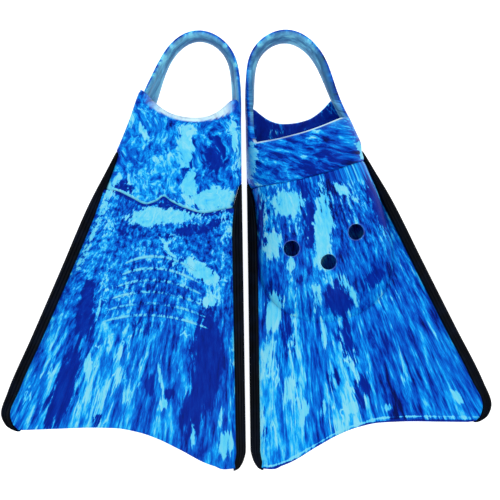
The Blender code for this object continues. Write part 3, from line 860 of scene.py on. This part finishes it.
def flow_coordinates(side, kind, x, y, z):
    """Coordinates whose first axis runs across the streaks of the compound and whose second runs along."""
    if kind == "pocket":
        band = smoothstep(0.128, 0.165, y)
        round_loop = np.arctan2(x - STRAP_MIDDLE_X, y - 0.165) * 0.040 + STRAP_MIDDLE_X
        across = mix(y * 0.97 + x * 0.25 + z * 0.3, z * 1.2 + STRAP_START_Y, band)
        along = mix(x * 0.97 - y * 0.25 + z, round_loop, band)
        return across, along, z * 0.2
    if kind == "heel":
        return x, y, z * 0.4
    # the streaks fan out between the straight rail and a straight line along the flared one
    left = 0.012
    right = 0.2195 - 0.503 * (y + 0.126)
    share = (x - left) / (right - left)
    return share * 0.190, along_streaks[side](y), z * 0.2


def read_float(mesh, name):
    values = np.empty(len(mesh.vertices), np.float32)
    mesh.attributes[name].data.foreach_get("value", values)
    return values


def marble_attributes(mesh, co, side, kind):
    """Stores how pale and how navy each vertex is, how much painted highlight its edges get, how far inside
    the loop it is (where painted shade goes), and its flow.
    """
    x, y, z = co.T
    pale = patch_field(PALE_PATCHES[side], *wander(x, y, 0.3))
    navy = patch_field(NAVY_PATCHES[side], *wander(x, y, 5.7))
    lip = np.zeros_like(x)
    inner = np.zeros_like(x)
    if kind == "pocket":
        band = smoothstep(0.138, 0.160, y)
        # painted highlight along the rim of the opening
        lip = smoothstep(0.80, 0.96, read_float(mesh, "rim"))
        pale = np.maximum(pale * (1 - band), 0.40 * band)
        navy = navy * (1 - band)
        # the loop's inner face: pale compound, with painted shade and painted light over it
        facing, _ = loop_facing(mesh, co)
        inner = smoothstep(-0.45, 0.30, facing) * smoothstep(0.112, 0.135, y)
    if kind == "heel":
        # painted highlight: a pale band along the middle of the heel's open edge, standing in for the
        # highlight on its round lip
        ends = heel_edge_y(x)
        taper = smoothstep(0.090, 0.068, x) * smoothstep(0.006, 0.018, x)
        lip = taper * smoothstep(0.0040, 0.0030, ends - y) * smoothstep(0.0052, 0.0042, z)
        past_seam = y - sole_seam_y(x)
        pale = np.maximum(pale, 0.85 * smoothstep(0.0030, 0.0016, past_seam))
        # painted shade: the sole's top face inside the pocket is painted navy, standing in for the shade in
        # the pocket
        inside = smoothstep(SOLE_THICK - 0.0015, SOLE_THICK - 0.0002, z)
        pale = pale * (1 - inside)
        navy = np.maximum(navy, 0.80 * inside)
    if kind == "rib":
        # painted highlight: the ribs are painted partly pale, standing in for the highlights on the raised
        # ribs
        pale = np.full_like(x, 0.55)
        navy = np.zeros_like(x)
    if kind == "rim":
        # painted highlight: a faint touch of the pale edge colour on the drain rims
        lip = np.full_like(x, 0.10)
    if kind == "blade":
        to_edge = y - trailing_edge(x)
        border = smoothstep(0.0068, 0.0058, to_edge) * smoothstep(0.0036, 0.0044, to_edge)
        upper = smoothstep(MID_Z, MID_Z + 0.001, z)
        pale = np.maximum(pale, 0.8 * border * upper)
        navy = np.maximum(navy, smoothstep(0.0036, 0.0026, to_edge) * upper)
        to_seam = sole_seam_y(x) - y
        navy = np.maximum(navy, 0.85 * smoothstep(0.0040, 0.0020, to_seam) * (1 - upper))
    # a pale strip beside the flared rail, on the left fin only
    strip = smoothstep(0.0005, 0.0020, plate_right(y) - x) * smoothstep(0.0085, 0.0070, plate_right(y) - x)
    strip = strip * smoothstep(-0.015, -0.002, y) * smoothstep(0.080, 0.072, y)
    if side == "left" and kind in ("blade", "heel"):
        pale = np.maximum(pale, 0.62 * strip)
    values = {"pale": pale, "navy": navy * (1 - lip), "lip": lip, "inner": inner}
    for name, value in values.items():
        attribute = mesh.attributes.new(name, "FLOAT", "POINT")
        attribute.data.foreach_set("value", value.astype(np.float32))
    flow = np.stack(flow_coordinates(side, kind, x, y, z), axis=1)
    flow[:, 2] += 0.35 if side == "left" else 0.0
    attribute = mesh.attributes.new("flow", "FLOAT_VECTOR", "POINT")
    attribute.data.foreach_set("vector", flow.astype(np.float32).ravel())


# ---------------------------------------------------------------- materials
def linear(red, green, blue):
    """Linear colour of an sRGB one given in 0 to 255."""
    return tuple((v / 12.92 if v <= 0.04045 else ((v + 0.055) / 1.055) ** 2.4)
                 for v in (red / 255, green / 255, blue / 255)) + (1.0,)


class Graph:
    """Short calls that add nodes to a material."""

    def __init__(self, name):
        self.material = bpy.data.materials.new(name)
        self.material.use_nodes = True
        self.tree = self.material.node_tree
        self.shader = self.tree.nodes["Principled BSDF"]

    def node(self, kind, inputs=None, **settings):
        node = self.tree.nodes.new(kind)
        for name, value in settings.items():
            setattr(node, name, value)
        for key, value in (inputs or {}).items():
            self.set(node.inputs[key], value)
        return node

    def set(self, socket, value):
        if isinstance(value, bpy.types.NodeSocket):
            self.tree.links.new(value, socket)
        else:
            socket.default_value = value

    def math(self, operation, a, b=0.0, c=0.0):
        return self.node("ShaderNodeMath", {0: a, 1: b, 2: c}, operation=operation).outputs[0]

    def vector(self, operation, a, b):
        return self.node("ShaderNodeVectorMath", {0: a, 1: b}, operation=operation).outputs[0]

    def attribute(self, name, output="Fac"):
        return self.node("ShaderNodeAttribute", attribute_name=name).outputs[output]

    def noise(self, at, scale, detail=4.0, rough=0.55, distortion=0.0, output="Fac"):
        return self.node("ShaderNodeTexNoise", {"Vector": at, "Scale": scale, "Detail": detail,
                         "Roughness": rough, "Distortion": distortion}).outputs[output]

    def ease(self, value, low, high):
        """Smooth step of a value from 0 at low to 1 at high."""
        return self.node("ShaderNodeMapRange", {"Value": value, "From Min": low, "From Max": high},
                         interpolation_type="SMOOTHSTEP").outputs["Result"]

    def blend(self, a, b, share):
        return self.node("ShaderNodeMix", {0: share, 2: a, 3: b}, data_type="FLOAT").outputs[0]

    def colour_blend(self, a, b, share):
        return self.node("ShaderNodeMix", {0: share, 6: a, 7: b}, data_type="RGBA").outputs[2]

    def ramp(self, value, stops):
        node = self.node("ShaderNodeValToRGB", {"Fac": value})
        elements = node.color_ramp.elements
        while len(elements) < len(stops):
            elements.new(0.5)
        for element, (position, colour) in zip(elements, stops):
            element.position = position
            element.color = linear(*colour)
        return node.outputs["Color"]

    def bump(self, height, strength, distance):
        return self.node("ShaderNodeBump", {"Height": height, "Strength": strength,
                         "Distance": distance}).outputs["Normal"]


BLUES = [(0.00, (3, 18, 84)), (0.14, (2, 36, 148)), (0.30, (3, 70, 188)), (0.46, (4, 104, 211)),
         (0.60, (8, 138, 234)), (0.72, (22, 176, 246)), (0.86, (92, 205, 240)), (1.00, (132, 214, 238))]
# painted highlight: pale colour laid along round edges (heel lip, collar rim, drain rims) in place of their
# highlights
LIP_HIGHLIGHT_COLOUR = linear(206, 240, 248)
# the loop's pale compound as painted shade and as painted light
LOOP_IN_SHADE = linear(62, 122, 160)
LOOP_IN_LIGHT = linear(124, 202, 230)


def marble(name, stretch, swirl, roughness, fineness=170.0):
    """Swirled blue rubber: streaked body, feathered pale and navy patches, thin veins."""
    g = Graph(name)
    flow = g.attribute("flow", "Vector")
    warp = g.noise(flow, 26.0, 3.0, 0.5, output="Color")
    push = g.vector("MULTIPLY", g.vector("SUBTRACT", warp, (0.5, 0.5, 0.5)), swirl)
    bent = g.vector("ADD", flow, push)
    drawn = g.vector("MULTIPLY", bent, (1.0, stretch, 1.0))
    broad = g.math("SUBTRACT", g.noise(drawn, 42.0, 4.0, 0.60), 0.5)
    fine = g.math("SUBTRACT", g.noise(drawn, fineness, 8.0, 0.68), 0.5)
    grain = g.math("SUBTRACT", g.noise(bent, 520.0, 3.0, 0.60), 0.5)
    feather = g.math("ADD", g.math("MULTIPLY", broad, 1.4), g.math("MULTIPLY", fine, 2.7))
    mood = g.math("SUBTRACT", g.noise(bent, 19.0, 2.0, 0.5), 0.5)
    body = g.math("MULTIPLY_ADD", feather, 0.92, g.math("MULTIPLY_ADD", mood, 0.70, 0.46))
    body = g.math("ADD", body, g.math("MULTIPLY", grain, 0.40))
    pale = g.ease(g.math("MULTIPLY_ADD", feather, 0.80, g.attribute("pale")), 0.40, 0.60)
    navy = g.ease(g.math("MULTIPLY_ADD", feather, -0.80, g.attribute("navy")), 0.38, 0.62)
    value = g.blend(body, g.math("MULTIPLY_ADD", fine, 0.45, 0.15), navy)
    value = g.blend(value, g.math("MULTIPLY_ADD", feather, 0.22, 0.87), pale)
    vein = g.math("ABSOLUTE", g.math("SUBTRACT", g.noise(drawn, 66.0, 4.0, 0.55, 0.6), 0.5))
    vein = g.math("MULTIPLY", g.ease(vein, 0.022, 0.0), g.ease(broad, -0.02, 0.10))
    value = g.math("MULTIPLY_ADD", vein, 0.42, value)
    streak = g.math("ADD", broad, g.math("MULTIPLY", fine, 0.5))
    # inner face of the loop: pale compound with painted shade, its shaded and lit tones mixed by the streaks
    loop = g.colour_blend(LOOP_IN_SHADE, LOOP_IN_LIGHT, g.ease(streak, -0.15, 0.08))
    colour = g.colour_blend(g.ramp(value, BLUES), loop, g.math("MULTIPLY", g.attribute("inner"), 0.80))
    # painted highlight on the edges, broken up by the broad streak noise
    highlight_breakup = g.math("MULTIPLY_ADD", g.ease(broad, -0.12, 0.06), 0.45, 0.55)
    colour = g.colour_blend(colour, LIP_HIGHLIGHT_COLOUR, g.math("MULTIPLY", g.attribute("lip"), highlight_breakup))
    g.set(g.shader.inputs["Base Color"], colour)
    g.set(g.shader.inputs["Roughness"], g.math("MULTIPLY_ADD", grain, 0.25, roughness))
    g.shader.inputs["Specular IOR Level"].default_value = 0.03
    relief = g.math("ADD", g.math("MULTIPLY", fine, 0.7), grain)
    g.set(g.shader.inputs["Normal"], g.bump(relief, 0.35, 0.0006))
    return g.material


def black_rubber(name):
    """Black rail compound with faint lengthwise drag marks and a bluish bloom."""
    g = Graph(name)
    flow = g.attribute("fin_place", "Vector")
    drawn = g.vector("MULTIPLY", flow, (1.0, 0.05, 1.0))
    drag = g.noise(drawn, 900.0, 4.0, 0.6)
    cloud = g.noise(flow, 60.0, 5.0, 0.6)
    colour = g.colour_blend(linear(1, 4, 12), linear(3, 11, 27), g.ease(cloud, 0.42, 0.68))
    g.set(g.shader.inputs["Base Color"], colour)
    g.set(g.shader.inputs["Roughness"], g.math("MULTIPLY_ADD", g.math("SUBTRACT", drag, 0.5), 0.5, 0.36))
    g.shader.inputs["Specular IOR Level"].default_value = 0.06
    g.set(g.shader.inputs["Normal"], g.bump(drag, 0.25, 0.0005))
    return g.material


def floor_material():
    g = Graph("floor_pale")
    g.shader.inputs["Base Color"].default_value = (0.62, 0.62, 0.62, 1)
    g.shader.inputs["Roughness"].default_value = 0.9
    g.shader.inputs["Emission Color"].default_value = (1, 1, 1, 1)
    g.shader.inputs["Emission Strength"].default_value = 0.90
    return g.material


POCKET = marble("pocket_marble", 0.26, (0.014, 0.026, 0.012), 0.34, 230.0)
SOLE = marble("sole_marble", 0.60, (0.030, 0.044, 0.020), 0.36, 200.0)
BLADE = marble("blade_marble", 1.0, (0.016, 0.010, 0.010), 0.34, 220.0)
RAIL = black_rubber("rail_black")

for side in ("left", "right"):
    make_collar_and_strap(side, POCKET)
    make_toe_box(side, BLADE)
    make_drain_rims(side, BLADE)
    make_blade(side, BLADE)
    make_grip_ribs(side, BLADE)
    make_heel_sole(side, SOLE)
    make_rail(side, "outer", OUTER_RAIL_START, OUTER_RAIL_END, outer_walls, RAIL)
    make_rail(side, "inner", INNER_RAIL_START, INNER_RAIL_END, inner_walls, RAIL)


# ---------------------------------------------------------------- floor, light, camera
FLOOR_SIZE = 60.0
FLOOR_Z = -0.0004
WORLD_STRENGTH = 0.36
CAMERA_HEIGHT = 0.650
CAMERA_X = 0.0045
CAMERA_Y = 0.0056
CAMERA_ROLL = math.radians(-0.8)
VIEW_WIDTH = 0.498           # width seen on the floor


def make_floor():
    bpy.ops.mesh.primitive_plane_add(size=FLOOR_SIZE, location=(0.0, 0.0, FLOOR_Z))
    floor = bpy.context.object
    floor.name = "floor"
    floor.data.materials.append(floor_material())


def area_light(name, location, size, power):
    light = bpy.data.lights.new(name, "AREA")
    light.energy = power
    light.shape = "RECTANGLE"
    light.size, light.size_y = size
    obj = bpy.data.objects.new(name, light)
    obj.location = location
    obj.rotation_euler = (-Vector(location)).to_track_quat("-Z", "Y").to_euler()
    bpy.context.scene.collection.objects.link(obj)


def make_world(strength):
    world = bpy.data.worlds.new("studio")
    world.use_nodes = True
    world.node_tree.nodes["Background"].inputs["Color"].default_value = (1, 1, 1, 1)
    world.node_tree.nodes["Background"].inputs["Strength"].default_value = strength
    bpy.context.scene.world = world


def make_camera():
    data = bpy.data.cameras.new("camera")
    data.sensor_width = 36.0
    data.lens = data.sensor_width * CAMERA_HEIGHT / VIEW_WIDTH
    camera = bpy.data.objects.new("camera", data)
    camera.location = (CAMERA_X, CAMERA_Y, CAMERA_HEIGHT)
    camera.rotation_euler = (0.0, 0.0, CAMERA_ROLL)
    bpy.context.scene.collection.objects.link(camera)
    bpy.context.scene.camera = camera


make_floor()
make_world(WORLD_STRENGTH)
area_light("softbox_back", (0.0, 1.1, 1.4), (1.3, 0.9), 9.8)
area_light("softbox_front", (0.0, -1.1, 1.4), (1.3, 0.9), 7.2)
area_light("softbox_left", (-1.1, 0.0, 1.4), (0.9, 1.3), 8.0)
area_light("softbox_right", (1.1, 0.0, 1.4), (0.9, 1.3), 7.2)
make_camera()
bpy.context.scene.view_settings.view_transform = "Standard"
